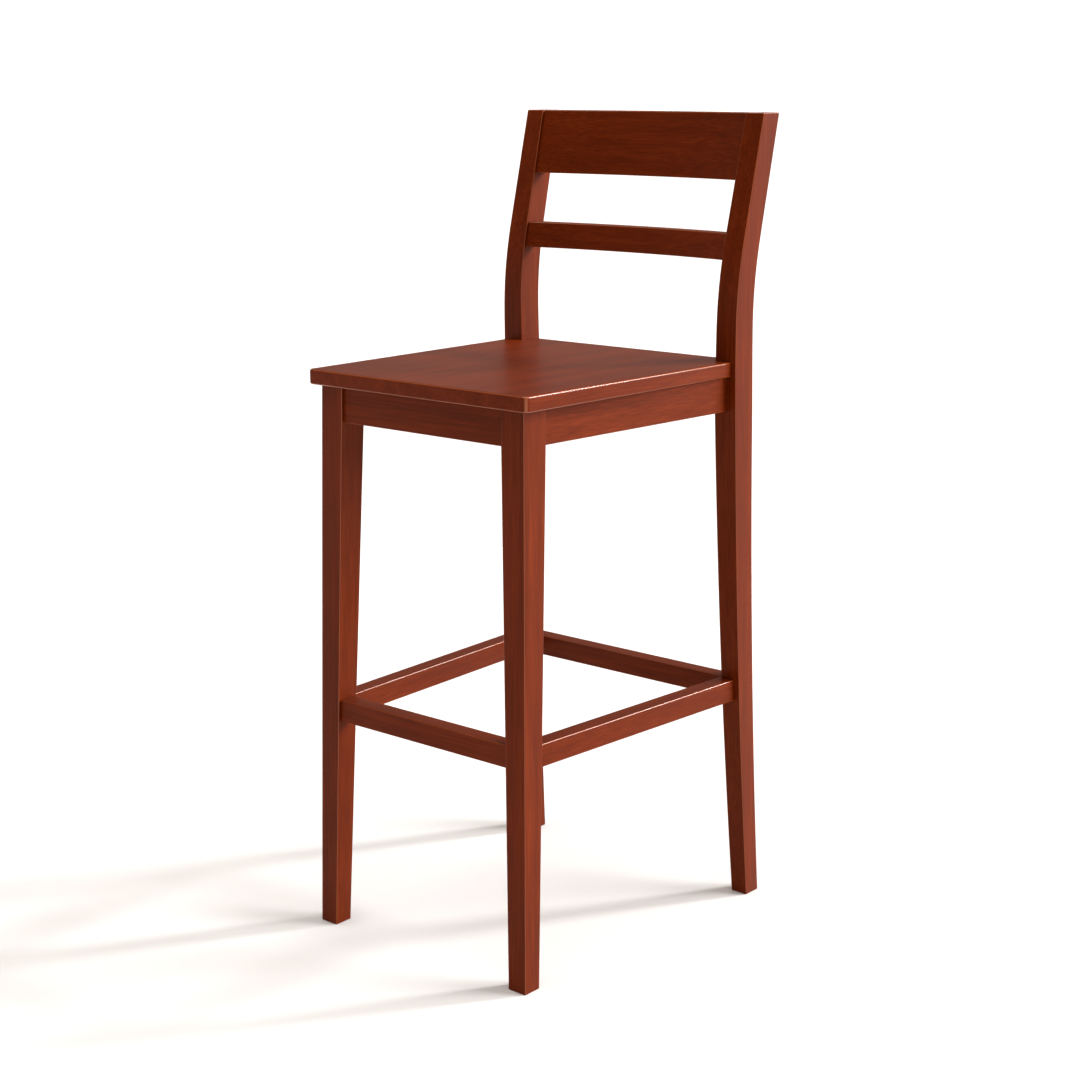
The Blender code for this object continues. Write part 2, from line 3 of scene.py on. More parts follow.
import bmesh
import bpy
import numpy as np
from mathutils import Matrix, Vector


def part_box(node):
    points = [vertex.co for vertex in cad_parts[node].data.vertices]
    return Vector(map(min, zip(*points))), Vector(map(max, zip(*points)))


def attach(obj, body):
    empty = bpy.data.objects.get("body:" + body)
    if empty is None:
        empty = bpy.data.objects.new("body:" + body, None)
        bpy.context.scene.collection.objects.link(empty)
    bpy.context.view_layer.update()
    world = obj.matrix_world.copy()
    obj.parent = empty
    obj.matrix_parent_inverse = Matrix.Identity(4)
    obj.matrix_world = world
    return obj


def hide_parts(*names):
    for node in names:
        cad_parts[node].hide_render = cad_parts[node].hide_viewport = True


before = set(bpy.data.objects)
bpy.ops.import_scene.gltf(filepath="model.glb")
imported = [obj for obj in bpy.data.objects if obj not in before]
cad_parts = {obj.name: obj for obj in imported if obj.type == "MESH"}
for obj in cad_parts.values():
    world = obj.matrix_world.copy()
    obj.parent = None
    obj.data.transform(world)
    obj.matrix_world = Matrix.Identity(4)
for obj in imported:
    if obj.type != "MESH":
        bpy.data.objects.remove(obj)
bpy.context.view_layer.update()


# ---------------------------------------------------------------- front legs
# Two legs cut from solid hardwood, 37 x 41.5 mm at the apron and tapered on their inner
# faces to 29 x 27.5 mm at the floor. They lean outwards a little, their arrises are eased
# with sandpaper, and they are stained red-brown under a satin clear lacquer.

seat_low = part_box("seat_panel")[0]
LEG_LINE_Y = seat_low.y + 0.0113
LEG_OUTER_X = 0.1725
LEG_SPLAY_X = 0.0118
LEG_SPLAY_Y = 0.0123
LEG_HEAD_Z = 0.740
LEG_TOP = (0.0370, 0.0415)
LEG_FOOT = (0.0290, 0.0275)
APRON_BOTTOM = 0.693
FRAME_TOP = 0.7397
ARRIS = 0.0016
CREASE = math.radians(40.0)
JOINT_GAP = 0.0003
SIDES = (("left", -1.0), ("right", 1.0))

# Widths across the grain and lengths along it. Real pores are about 0.2 mm wide, and are drawn
# three times as wide so that they show.
FIGURE = (0.016, 0.42)
FIBRE = (0.0016, 0.090)
PORE = (0.0006, 0.009)


def leg_outer_x(z):
    return LEG_OUTER_X + LEG_SPLAY_X * (1.0 - z / LEG_HEAD_Z)


def leg_front_y(z):
    return LEG_LINE_Y - LEG_SPLAY_Y * (1.0 - z / LEG_HEAD_Z)


def leg_inner_x(z):
    return leg_outer_x(z) - np.interp(z, (0.0, APRON_BOTTOM), (LEG_FOOT[0], LEG_TOP[0]))


def leg_back_y(z):
    return leg_front_y(z) + np.interp(z, (0.0, APRON_BOTTOM), (LEG_FOOT[1], LEG_TOP[1]))


def linear(hex_code):
    """Colour written as sRGB hex, in the linear values that a shader takes."""
    levels = [int(hex_code[i:i + 2], 16) / 255.0 for i in (1, 3, 5)]
    return (*(v / 12.92 if v <= 0.04045 else ((v + 0.055) / 1.055) ** 2.4 for v in levels), 1.0)


def add_node(tree, kind, inputs, **settings):
    """Adds a node. Each input holds either a value or the output that it is linked from."""
    node = tree.nodes.new(kind)
    for name, value in settings.items():
        setattr(node, name, value)
    for key, value in inputs.items():
        if isinstance(value, bpy.types.NodeSocket):
            tree.links.new(value, node.inputs[key])
        else:
            node.inputs[key].default_value = value
    return node


def ramp(tree, factor, stops):
    """Colour ramp through (position, hex colour) stops."""
    node = add_node(tree, "ShaderNodeValToRGB", {"Fac": factor})
    elements = node.color_ramp.elements
    for element, (position, colour) in zip(elements, (stops[0], stops[-1])):
        element.position, element.color = position, linear(colour)
    for position, colour in stops[1:-1]:
        elements.new(position).color = linear(colour)
    return node.outputs["Color"]


def grain_noise(tree, place, across, along, detail, warp=0.0):
    """Noise drawn out along the grain: fibres this wide and this long, in metres."""
    stretched = add_node(tree, "ShaderNodeMapping", {
        "Vector": place, "Scale": (1.0 / across, 1.0 / across, 1.0 / along)})
    noise = add_node(tree, "ShaderNodeTexNoise", {
        "Vector": stretched.outputs["Vector"], "Scale": 1.0, "Detail": detail,
        "Roughness": 0.55, "Distortion": warp})
    return noise.outputs["Fac"]


def scaled(tree, value, low, high, to_low, to_high):
    """Carries a value from one range to another, and holds it at the ends."""
    node = add_node(tree, "ShaderNodeMapRange", {
        "Value": value, "From Min": low, "From Max": high, "To Min": to_low,
        "To Max": to_high}, clamp=True)
    return node.outputs["Result"]


def calculate(tree, operation, first, second):
    node = add_node(tree, "ShaderNodeMath", {0: first, 1: second}, operation=operation)
    return node.outputs[0]


def mixed(tree, factor, first, second, blend="MIX"):
    node = add_node(tree, "ShaderNodeMix", {0: factor, 6: first, 7: second},
                    data_type="RGBA", blend_type=blend)
    return node.outputs[2]


def lacquered_wood(name, turn, dark="#4a1703", middle="#5a1d04", light="#6b2708"):
    """Red-brown wiping stain over fine straight grain, under a satin clear lacquer.

    The turn brings the piece's grain upright, in radians about X, Y and Z. Lacquer refracts
    at 1.5, and its satin finish leaves a roughness near 0.45. It gathers thicker and
    glossier on the arrises, where sanding has thinned the stain. The arrises are also painted
    lighter all round: partly the thinned stain, partly a painted highlight.
    """
    material = bpy.data.materials.new(name)
    material.use_nodes = True
    tree = material.node_tree
    shader = tree.nodes["Principled BSDF"]
    shader.inputs["IOR"].default_value = 1.50
    shader.inputs["Specular IOR Level"].default_value = 0.16
    shader.inputs["Specular Tint"].default_value = linear("#cb703f")
    shader.inputs["Coat Roughness"].default_value = 0.24
    shader.inputs["Coat IOR"].default_value = 1.50
    place = add_node(tree, "ShaderNodeTexCoord", {}).outputs["Object"]
    upright = add_node(tree, "ShaderNodeMapping", {
        "Vector": place, "Rotation": turn}).outputs["Vector"]

    figure = grain_noise(tree, upright, *FIGURE, 3.0, 0.30)
    fibres = grain_noise(tree, upright, *FIBRE, 4.0)
    pores = grain_noise(tree, upright, *PORE, 2.0)
    blotch = add_node(tree, "ShaderNodeTexNoise", {
        "Vector": place, "Scale": 7.0, "Detail": 2.0}).outputs["Fac"]

    tone = add_node(tree, "ShaderNodeMix", {0: 0.60, 2: figure, 3: fibres}).outputs[0]
    stain = ramp(tree, tone, ((0.33, dark), (0.50, middle), (0.67, light)))
    uneven = scaled(tree, blotch, 0.30, 0.70, 0.0, 0.18)
    stain = mixed(tree, uneven, stain, linear("#8a5a48"), "MULTIPLY")
    flecks = scaled(tree, pores, 0.62, 0.74, 0.0, 0.40)
    stain = mixed(tree, flecks, stain, linear("#3c1204"))

    # Broad faces look almost straight along an axis, and rounded arrises look between two.
    facing = add_node(tree, "ShaderNodeNewGeometry", {}).outputs["Normal"]
    steepness = add_node(tree, "ShaderNodeVectorMath", {0: facing}, operation="ABSOLUTE")
    shares = add_node(tree, "ShaderNodeSeparateXYZ", {"Vector": steepness.outputs[0]}).outputs
    squareness = calculate(tree, "MAXIMUM", shares["X"], calculate(
        tree, "MAXIMUM", shares["Y"], shares["Z"]))
    on_face, on_arris = 0.95, 0.78
    # Every arris is painted lighter: partly stain that sanding thinned there, partly a painted
    # highlight.
    thinned_stain_and_highlight = scaled(tree, squareness, on_face, on_arris, 0.0, 0.50)
    stain = mixed(tree, thinned_stain_and_highlight, stain, linear("#a3501f"))
    build_up = scaled(tree, squareness, on_face, on_arris, 0.03, 1.0)
    tree.links.new(build_up, shader.inputs["Coat Weight"])
    tree.links.new(stain, shader.inputs["Base Color"])
    tree.links.new(scaled(tree, fibres, 0.30, 0.70, 0.40, 0.50), shader.inputs["Roughness"])

    relief = add_node(tree, "ShaderNodeMix", {0: 0.35, 2: pores, 3: fibres}).outputs[0]
    bump = add_node(tree, "ShaderNodeBump", {
        "Height": relief, "Strength": 0.12, "Distance": 0.0004})
    tree.links.new(bump.outputs["Normal"], shader.inputs["Normal"])
    return material


def piece_from(name, data, material):
    """Turns a bmesh into a finished piece of the stool, with its faces pointing out."""
    bmesh.ops.recalc_face_normals(data, faces=data.faces)
    mesh = bpy.data.meshes.new(name)
    data.to_mesh(mesh)
    data.free()
    mesh.shade_smooth()
    mesh.materials.append(material)
    piece = bpy.data.objects.new(name, mesh)
    bpy.context.scene.collection.objects.link(piece)
    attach(piece, "root")
    return piece


def ease_arrises(piece, is_eased, width=ARRIS, segments=3):
    """Rounds the square edges that sandpaper reaches, chosen by the way that they run.

    The others stay sharp, as at the shoulders of a joint. Broad faces stay flat in the light.
    """
    data = bmesh.new()
    data.from_mesh(piece.data)
    weight = data.edges.layers.float.new("bevel_weight_edge")
    for edge in data.edges:
        if edge.calc_face_angle(0.0) > CREASE:
            way = (edge.verts[1].co - edge.verts[0].co).normalized()
            edge[weight] = float(is_eased(way))
            edge.smooth = is_eased(way)
    data.to_mesh(piece.data)
    data.free()
    bevel = piece.modifiers.new("eased arrises", "BEVEL")
    bevel.width = width
    bevel.segments = segments
    bevel.limit_method = "WEIGHT"
    flat = piece.modifiers.new("flat faces", "WEIGHTED_NORMAL")
    flat.keep_sharp = True


def loft(sections):
    """Closed solid through sections of four corners each."""
    data = bmesh.new()
    loops = [[data.verts.new(corner) for corner in section] for section in sections]
    for low, high in zip(loops, loops[1:]):
        for i in range(4):
            j = (i + 1) % 4
            data.faces.new((low[i], low[j], high[j], high[i]))
    data.faces.new(loops[0])
    data.faces.new(loops[-1])
    return data


def upright_section(sign, outer, inner, front, back, z):
    """Level section of a leg or a post, its corners in order round it."""
    return [(sign * x, y, z)
            for x, y in ((outer, front), (inner, front), (inner, back), (outer, back))]


leg_wood = lacquered_wood("stained hardwood, upright grain", (0.0, 0.0, 0.0))
for side, sign in SIDES:
    sections = [
        upright_section(sign, leg_outer_x(z), leg_inner_x(z), leg_front_y(z), leg_back_y(z), z)
        for z in (0.0, APRON_BOTTOM, FRAME_TOP)]
    leg = piece_from("leg_front_" + side, loft(sections), leg_wood)
    ease_arrises(leg, lambda way: True)
    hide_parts("front_leg_" + side)


# ---------------------------------------------------------------- back posts
# Each rear leg and back upright is sawn in one piece from a wide board: it sweeps back to
# the foot, is nearly straight at the seat, and bends to a rake of about 14 degrees above it.

POST_TOP = 1.0815
SEAT_TOP = 0.760
SEAT_BACK_HALF = 0.196
POST_FRONT_DEPTH = 0.3927
POST_OVERHANG = 0.007
FOOT_OVERHANG = 0.0145
FOOT_SLOPE = -0.098
SEAT_SLOPE = -0.012
BACK_SLOPE = 0.242
BEND_LOW = 0.800
BEND_HIGH = 0.920
WIDTH_HEIGHTS = (0.0, APRON_BOTTOM, SEAT_TOP, POST_TOP)
POST_WIDTHS = (0.026, 0.035, 0.0335, 0.029)
POST_DEPTHS = (0.028, 0.0395, 0.0395, 0.036)
post_heights = np.linspace(0.0, POST_TOP, 73)
post_slopes = np.interp(post_heights, (0.0, BEND_LOW, BEND_HIGH, POST_TOP),
                        (FOOT_SLOPE, SEAT_SLOPE, BACK_SLOPE, BACK_SLOPE))
post_rise = np.concatenate(
    ((0.0,), np.cumsum(np.diff(post_heights) * (post_slopes[:-1] + post_slopes[1:]) / 2.0)))
post_line = (LEG_LINE_Y + POST_FRONT_DEPTH + post_rise
             - np.interp(SEAT_TOP, post_heights, post_rise))


def post_front_y(z):
    return np.interp(z, post_heights, post_line)


def post_back_y(z):
    return post_front_y(z) + np.interp(z, WIDTH_HEIGHTS, POST_DEPTHS)


def post_outer_x(z):
    return SEAT_BACK_HALF + np.interp(z, (0.0, SEAT_TOP), (FOOT_OVERHANG, POST_OVERHANG))


def post_inner_x(z):
    return post_outer_x(z) - np.interp(z, WIDTH_HEIGHTS, POST_WIDTHS)


for side, sign in SIDES:
    sections = [
        upright_section(sign, post_outer_x(z), post_inner_x(z), post_front_y(z),
                        post_back_y(z), z)
        for z in post_heights]
    post = piece_from("post_back_" + side, loft(sections), leg_wood)
    ease_arrises(post, lambda way: True)
    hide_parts("back_post_" + side)


# ---------------------------------------------------------------- aprons
# Four rails 47 mm deep tie the legs together under the seat. They are dowelled and glued
# between the legs, a few millimetres behind their outer faces.

APRON_THICKNESS = 0.020
APRON_SETBACK = 0.004
BACK_APRON_SETBACK = 0.010
SIDE_APRON_BACK_INSET = 0.014
ALONG_X = (0.0, math.radians(90.0), 0.0)
ALONG_Y = (math.radians(90.0), 0.0, 0.0)
cross_wood = lacquered_wood("stained hardwood, grain across the stool", ALONG_X)
side_wood = lacquered_wood("stained hardwood, grain front to back", ALONG_Y)


def runs_across(way):
    """Whether an edge runs along a cross bar, and not round its shoulder."""
    return abs(way.x) > 0.7


def runs_back(way):
    """Whether an edge runs along a side bar, and not round its shoulder."""
    return abs(way.y) > 0.7


def cross_bar(name, low, high, thickness, end_x, front_y):
    """Straight bar between the inner faces of a left and a right upright."""
    corners = ((low, 0.0), (low, thickness), (high, thickness), (high, 0.0))
    sections = [[(sign * (end_x(z) - JOINT_GAP), front_y(z) + across, z)
                 for z, across in corners] for _, sign in SIDES]
    bar = piece_from(name, loft(sections), cross_wood)
    ease_arrises(bar, runs_across)
    return bar


def side_bar(name, sign, low, high, thickness, leg_x, post_x):
    """Straight bar from the back of a front leg to the front of a back post."""
    corners = ((low, 0.0), (low, thickness), (high, thickness), (high, 0.0))
    sections = [
        [(sign * (leg_x(z) - across), leg_back_y(z) + JOINT_GAP, z) for z, across in corners],
        [(sign * (post_x(z) - across), post_front_y(z) - JOINT_GAP, z)
         for z, across in corners]]
    bar = piece_from(name, loft(sections), side_wood)
    ease_arrises(bar, runs_back)
    return bar


front_apron = cross_bar("apron_front", APRON_BOTTOM, FRAME_TOP, APRON_THICKNESS,
                        leg_inner_x, lambda z: leg_front_y(z) + APRON_SETBACK)
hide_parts("front_apron")
back_apron = cross_bar("apron_back", APRON_BOTTOM, FRAME_TOP, APRON_THICKNESS,
                       post_inner_x, lambda z: post_front_y(z) + BACK_APRON_SETBACK)
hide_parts("back_apron")
for side, sign in SIDES:
    side_apron = side_bar("apron_side_" + side, sign, APRON_BOTTOM, FRAME_TOP,
                          APRON_THICKNESS, lambda z: leg_outer_x(z) - APRON_SETBACK,
                          lambda z: post_outer_x(z) - SIDE_APRON_BACK_INSET)
    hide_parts("side_apron_" + side)


# ---------------------------------------------------------------- footrest and stretchers
# Four bars, 30 mm high and 24.5 mm thick, with tenons glued into the legs 290 mm above the
# floor. The front one is the footrest.

STRETCHER_LOW = 0.290
STRETCHER_HIGH = 0.320
STRETCHER_THICKNESS = 0.0245
FOOTREST_SETBACK = 0.004
BACK_STRETCHER_SETBACK = 0.0035
SIDE_STRETCHER_SETBACK = 0.0025
SIDE_STRETCHER_BACK_INSET = 0.0083

footrest = cross_bar("stretcher_front", STRETCHER_LOW, STRETCHER_HIGH, STRETCHER_THICKNESS,
                     leg_inner_x, lambda z: leg_front_y(z) + FOOTREST_SETBACK)
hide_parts("footrest")
back_stretcher = cross_bar("stretcher_back", STRETCHER_LOW, STRETCHER_HIGH,
                           STRETCHER_THICKNESS, post_inner_x,
                           lambda z: post_front_y(z) + BACK_STRETCHER_SETBACK)
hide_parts("back_stretcher")
for side, sign in SIDES:
    stretcher = side_bar("stretcher_side_" + side, sign, STRETCHER_LOW, STRETCHER_HIGH,
                         STRETCHER_THICKNESS,
                         lambda z: leg_outer_x(z) - SIDE_STRETCHER_SETBACK,
                         lambda z: post_outer_x(z) - SIDE_STRETCHER_BACK_INSET)
    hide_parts("side_stretcher_" + side)


# ---------------------------------------------------------------- top rail and slat
# Two rails, 20 mm thick, sawn to a shallow curve so that the middle stands 16 mm behind the
# ends, and dowelled between the raked posts. One rule makes both: a bar that is bowed along
# its length, leans with the posts and widens with them.

RAIL_SAG = 0.016
RAIL_THICKNESS = 0.020
RAIL_SETBACK = 0.004
RAILS = (("rail_top", "top_rail", 0.9945, POST_TOP), ("rail_slat", "back_slat", 0.8915, 0.9265))


def node_tree(name, sockets):
    """Geometry node tree with named inputs, each given as its name and kind of socket."""
    tree = bpy.data.node_groups.new(name, "GeometryNodeTree")
    for label, kind in sockets:
        tree.interface.new_socket(name=label, in_out="INPUT", socket_type=kind)
    tree.interface.new_socket(name="Geometry", in_out="OUTPUT",
                              socket_type="NodeSocketGeometry")
    return tree


def close_tree(tree, source, shape):
    """Ends a tree: its instances are made real and given the material input."""
    real = add_node(tree, "GeometryNodeRealizeInstances", {"Geometry": shape})
    painted = add_node(tree, "GeometryNodeSetMaterial", {
        "Geometry": real.outputs[0], "Material": source["Material"]})
    add_node(tree, "NodeGroupOutput", {"Geometry": painted.outputs[0]})


def grown(name, tree, values, material, mesh=None):
    """Runs a tree on an object, keeps the result as a plain mesh, and makes it a piece."""
    holder = bpy.data.objects.new(name, mesh or bpy.data.meshes.new(name))
    bpy.context.scene.collection.objects.link(holder)
    modifier = holder.modifiers.new("shape", "NODES")
    modifier.node_group = tree
    wanted = {**values, "Material": material}
    for socket in tree.interface.items_tree:
        if socket.in_out == "INPUT" and socket.name in wanted:
            modifier[socket.identifier] = wanted[socket.name]
    evaluated = holder.evaluated_get(bpy.context.evaluated_depsgraph_get())
    plain = bpy.data.meshes.new_from_object(evaluated)
    bpy.data.objects.remove(holder)
    data = bmesh.new()
    data.from_mesh(plain)
    bmesh.ops.remove_doubles(data, verts=data.verts, dist=0.000001)
    return piece_from(name, data, material)


def rail_tree():
    """A bar along X that is bowed back at its middle, leans, and widens upwards."""
    tree = node_tree("bowed rail", (
        ("Centre", "NodeSocketVector"), ("Length", "NodeSocketFloat"),
        ("Height", "NodeSocketFloat"), ("Thickness", "NodeSocketFloat"),
        ("Sag", "NodeSocketFloat"), ("Rake", "NodeSocketFloat"),
        ("Flare", "NodeSocketFloat"), ("Material", "NodeSocketMaterial")))
    source = add_node(tree, "NodeGroupInput", {}).outputs
    size = add_node(tree, "ShaderNodeCombineXYZ", {
        "X": source["Length"], "Y": source["Thickness"], "Z": source["Height"]})
    bar = add_node(tree, "GeometryNodeMeshCube", {
        "Size": size.outputs[0], "Vertices X": 41, "Vertices Y": 2, "Vertices Z": 2})
    place = add_node(tree, "GeometryNodeInputPosition", {}).outputs[0]
    split = add_node(tree, "ShaderNodeSeparateXYZ", {"Vector": place}).outputs
    half = calculate(tree, "MULTIPLY", source["Length"], 0.5)
    share = calculate(tree, "DIVIDE", split["X"], half)
    bow = calculate(tree, "SUBTRACT", 1.0, calculate(tree, "POWER", share, 2.0))
    back = calculate(tree, "MULTIPLY", bow, source["Sag"])
    lean = calculate(tree, "MULTIPLY", split["Z"], source["Rake"])
    spread = calculate(tree, "MULTIPLY", calculate(tree, "MULTIPLY", share, split["Z"]),
                       source["Flare"])
    shift = add_node(tree, "ShaderNodeCombineXYZ", {
        "X": spread, "Y": calculate(tree, "ADD", back, lean)})
    bowed = add_node(tree, "GeometryNodeSetPosition", {
        "Geometry": bar.outputs["Mesh"], "Offset": shift.outputs[0]})
    placed = add_node(tree, "GeometryNodeTransform", {
        "Geometry": bowed.outputs[0], "Translation": source["Centre"]})
    close_tree(tree, source, placed.outputs[0])
    return tree


bowed_rail = rail_tree()
for name, node, low, high in RAILS:
    middle = (low + high) / 2.0
    slope = (post_front_y(high) - post_front_y(low)) / (high - low)
    flare = (post_inner_x(high) - post_inner_x(low)) / (high - low)
    rail = grown(name, bowed_rail, {
        "Centre": (0.0, post_front_y(middle) + RAIL_SETBACK + RAIL_THICKNESS / 2.0, middle),
        "Length": 2.0 * (post_inner_x(middle) - JOINT_GAP), "Height": high - low,
        "Thickness": RAIL_THICKNESS, "Sag": RAIL_SAG, "Rake": slope, "Flare": flare,
    }, cross_wood)
    ease_arrises(rail, runs_across)
    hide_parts(node)


# ---------------------------------------------------------------- corner blocks
# A block of unfinished hardwood braces each corner of the apron frame. Its faces are as
# the saw left them, and it is bored for the screws. The solids have their shape already.


def sawn_wood(name, turn):
    """Pale unfinished hardwood: dry, matt, with faint grain and cross-cut saw lines."""
    material = bpy.data.materials.new(name)
    material.use_nodes = True
    tree = material.node_tree
    shader = tree.nodes["Principled BSDF"]
    shader.inputs["IOR"].default_value = 1.45
    place = add_node(tree, "ShaderNodeTexCoord", {}).outputs["Object"]
    upright = add_node(tree, "ShaderNodeMapping", {
        "Vector": place, "Rotation": turn}).outputs["Vector"]
    figure = grain_noise(tree, upright, 0.010, 0.22, 3.0, 0.4)
    fibres = grain_noise(tree, upright, 0.0011, 0.030, 3.0)
    tone = add_node(tree, "ShaderNodeMix", {0: 0.4, 2: figure, 3: fibres}).outputs[0]
    colour = ramp(tree, tone, ((0.30, "#a5805a"), (0.52, "#c4a27a"), (0.72, "#d8bb95")))
    saw = add_node(tree, "ShaderNodeTexWave", {
        "Vector": upright, "Scale": 160.0, "Distortion": 1.5, "Detail": 1.0},
        bands_direction="Z").outputs["Fac"]
    colour = mixed(tree, scaled(tree, saw, 0.2, 0.9, 0.0, 0.12), colour, linear("#7d5f40"))
    tree.links.new(colour, shader.inputs["Base Color"])
    tree.links.new(scaled(tree, fibres, 0.3, 0.7, 0.62, 0.78), shader.inputs["Roughness"])
    bump = add_node(tree, "ShaderNodeBump", {
        "Height": saw, "Strength": 0.25, "Distance": 0.0003})
    tree.links.new(bump.outputs["Normal"], shader.inputs["Normal"])
    return material


for side, sign in SIDES:
    for end, slant in (("front", 1.0), ("back", -1.0)):
        turn = (math.radians(90.0), 0.0, sign * slant * math.radians(45.0))
        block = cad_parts[f"corner_block_{end}_{side}"]
        block.data.materials.clear()
        block.data.materials.append(sawn_wood(f"sawn hardwood, {end} {side} block", turn))


# ---------------------------------------------------------------- dowels
# Fluted beech pegs, 8 mm across, glued into both pieces at each apron and rail joint. The
# flutes let the glue out, and the ends are chamfered so that the peg starts easily.

DOWEL_RADIUS = 0.004
DOWEL_LENGTH = 0.028
DOWEL_CHAMFER = 0.0015
DOWEL_FLUTES = 24


def peg_points(name, nodes, direction_of):
    """One point at the middle of each solid, holding its direction and its length."""
    mesh = bpy.data.meshes.new(name)
    boxes = [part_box(node) for node in nodes]
    mesh.from_pydata([(low + high) / 2.0 for low, high in boxes], [], [])
    mesh.attributes.new("along", "FLOAT_VECTOR", "POINT")
    mesh.attributes.new("length", "FLOAT", "POINT")
    for i, (node, (low, high)) in enumerate(zip(nodes, boxes)):
        way = direction_of(node, high - low, (low + high) / 2.0)
        mesh.attributes["along"].data[i].vector = way
        mesh.attributes["length"].data[i].value = max(high - low)
    return mesh


def longest_way(node, span, middle):
    """The way that a dowel lies: along the longest side of its box."""
    axis = list(span).index(max(span))
    return [float(i == axis) for i in range(3)]


def set_on_points(tree, source, shape, unit_length):
    """Stands a shape, built upright to a known length, at each point along its direction."""
    along = add_node(tree, "GeometryNodeInputNamedAttribute", {"Name": "along"},
                     data_type="FLOAT_VECTOR").outputs["Attribute"]
    length = add_node(tree, "GeometryNodeInputNamedAttribute", {"Name": "length"},
                      data_type="FLOAT").outputs["Attribute"]
    turn = add_node(tree, "FunctionNodeAlignRotationToVector", {"Vector": along}, axis="Z")
    stretch = add_node(tree, "ShaderNodeCombineXYZ", {
        "X": 1.0, "Y": 1.0, "Z": calculate(tree, "DIVIDE", length, unit_length)})
    copies = add_node(tree, "GeometryNodeInstanceOnPoints", {
        "Points": source["Geometry"], "Instance": shape, "Rotation": turn.outputs[0],
        "Scale": stretch.outputs[0]})
    return copies.outputs[0]


def dowel_tree():
    """A star section swept along a line, thinner at both ends, at each point."""
    tree = node_tree("fluted dowels", (
        ("Geometry", "NodeSocketGeometry"), ("Radius", "NodeSocketFloat"),
        ("Length", "NodeSocketFloat"), ("Chamfer", "NodeSocketFloat"),
        ("Flutes", "NodeSocketInt"), ("Material", "NodeSocketMaterial")))
    source = add_node(tree, "NodeGroupInput", {}).outputs
    half = calculate(tree, "MULTIPLY", source["Length"], 0.5)
    top = add_node(tree, "ShaderNodeCombineXYZ", {"Z": half}).outputs[0]
    bottom = add_node(tree, "ShaderNodeCombineXYZ", {
        "Z": calculate(tree, "MULTIPLY", half, -1.0)}).outputs[0]
    line = add_node(tree, "GeometryNodeCurvePrimitiveLine", {"Start": bottom, "End": top})
    points = add_node(tree, "GeometryNodeResampleCurve", {
        "Curve": line.outputs[0], "Count": 29})
    height = add_node(tree, "ShaderNodeSeparateXYZ", {
        "Vector": add_node(tree, "GeometryNodeInputPosition", {}).outputs[0]}).outputs["Z"]
    to_end = calculate(tree, "SUBTRACT", half, calculate(tree, "ABSOLUTE", height, 0.0))
    full = add_node(tree, "ShaderNodeMapRange", {
        "Value": to_end, "From Min": 0.0, "From Max": source["Chamfer"], "To Min": 0.80,
        "To Max": 1.0}, clamp=True).outputs["Result"]
    shaped = add_node(tree, "GeometryNodeSetCurveRadius", {
        "Curve": points.outputs[0], "Radius": full})
    section = add_node(tree, "GeometryNodeCurveStar", {
        "Points": source["Flutes"], "Outer Radius": source["Radius"],
        "Inner Radius": calculate(tree, "MULTIPLY", source["Radius"], 0.93)})
    peg = add_node(tree, "GeometryNodeCurveToMesh", {
        "Curve": shaped.outputs[0], "Profile Curve": section.outputs["Curve"],
        "Fill Caps": True})
    close_tree(tree, source, set_on_points(tree, source, peg.outputs[0], source["Length"]))
    return tree


dowel_nodes = sorted(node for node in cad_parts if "_dowel_" in node)
beech = sawn_wood("compressed beech", (0.0, 0.0, 0.0))
dowels = grown("fluted_dowels", dowel_tree(), {
    "Radius": DOWEL_RADIUS, "Length": DOWEL_LENGTH, "Chamfer": DOWEL_CHAMFER,
    "Flutes": DOWEL_FLUTES,
}, beech, peg_points("dowel places", dowel_nodes, longest_way))
dowels.data.set_sharp_from_angle(angle=CREASE)
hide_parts(*dowel_nodes)


# ---------------------------------------------------------------- screws
# Pan head wood screws, zinc plated: two hold each corner block to the aprons, and a longer
# one goes up through it into the seat. Their heads sit in the counterbores of the blocks.

SCREW_RADIUS = 0.002
SCREW_HEAD_RADIUS = 0.004
SCREW_HEAD_HEIGHT = 0.0028
THREAD_PITCH = 0.0016
THREAD_DEPTH = 0.0005
THREADED_SHARE = 0.62
TIP_LENGTH = 0.005
TIP_RUNOUT = 0.004
CORE_SUNK = 0.001
RECESS_LONG = 0.0046
RECESS_WIDE = 0.0009
RECESS_HEIGHT = 0.0030
CUTTER_SIZE = 0.010
SCREWS = (("block_screws", "block_", 0.0238), ("seat_screws", "seat_screw", 0.0328))


def zinc_plate():
    """Bright zinc plate on steel: a metal, faintly clouded, and bluish from passivation."""
    material = bpy.data.materials.new("bright zinc plate")
    material.use_nodes = True
    tree = material.node_tree
    shader = tree.nodes["Principled BSDF"]
    shader.inputs["Metallic"].default_value = 1.0
    place = add_node(tree, "ShaderNodeTexCoord", {}).outputs["Object"]
    cloud = add_node(tree, "ShaderNodeTexNoise", {
        "Vector": place, "Scale": 900.0, "Detail": 4.0}).outputs["Fac"]
    colour = ramp(tree, cloud, ((0.35, "#a9adb0"), (0.55, "#c2c4c3"), (0.70, "#d0cfc8")))
    tree.links.new(colour, shader.inputs["Base Color"])
    tree.links.new(scaled(tree, cloud, 0.3, 0.7, 0.26, 0.44), shader.inputs["Roughness"])
    return material


def driven_way(node, span, middle):
    """The way that a screw drives: up into the seat, or outwards into an apron."""
    if node.startswith("seat"):
        return (0.0, 0.0, 1.0)
    if node.startswith("block_side"):
        return (math.copysign(1.0, middle.x), 0.0, 0.0)
    return (0.0, -1.0 if "_front_" in node else 1.0, 0.0)


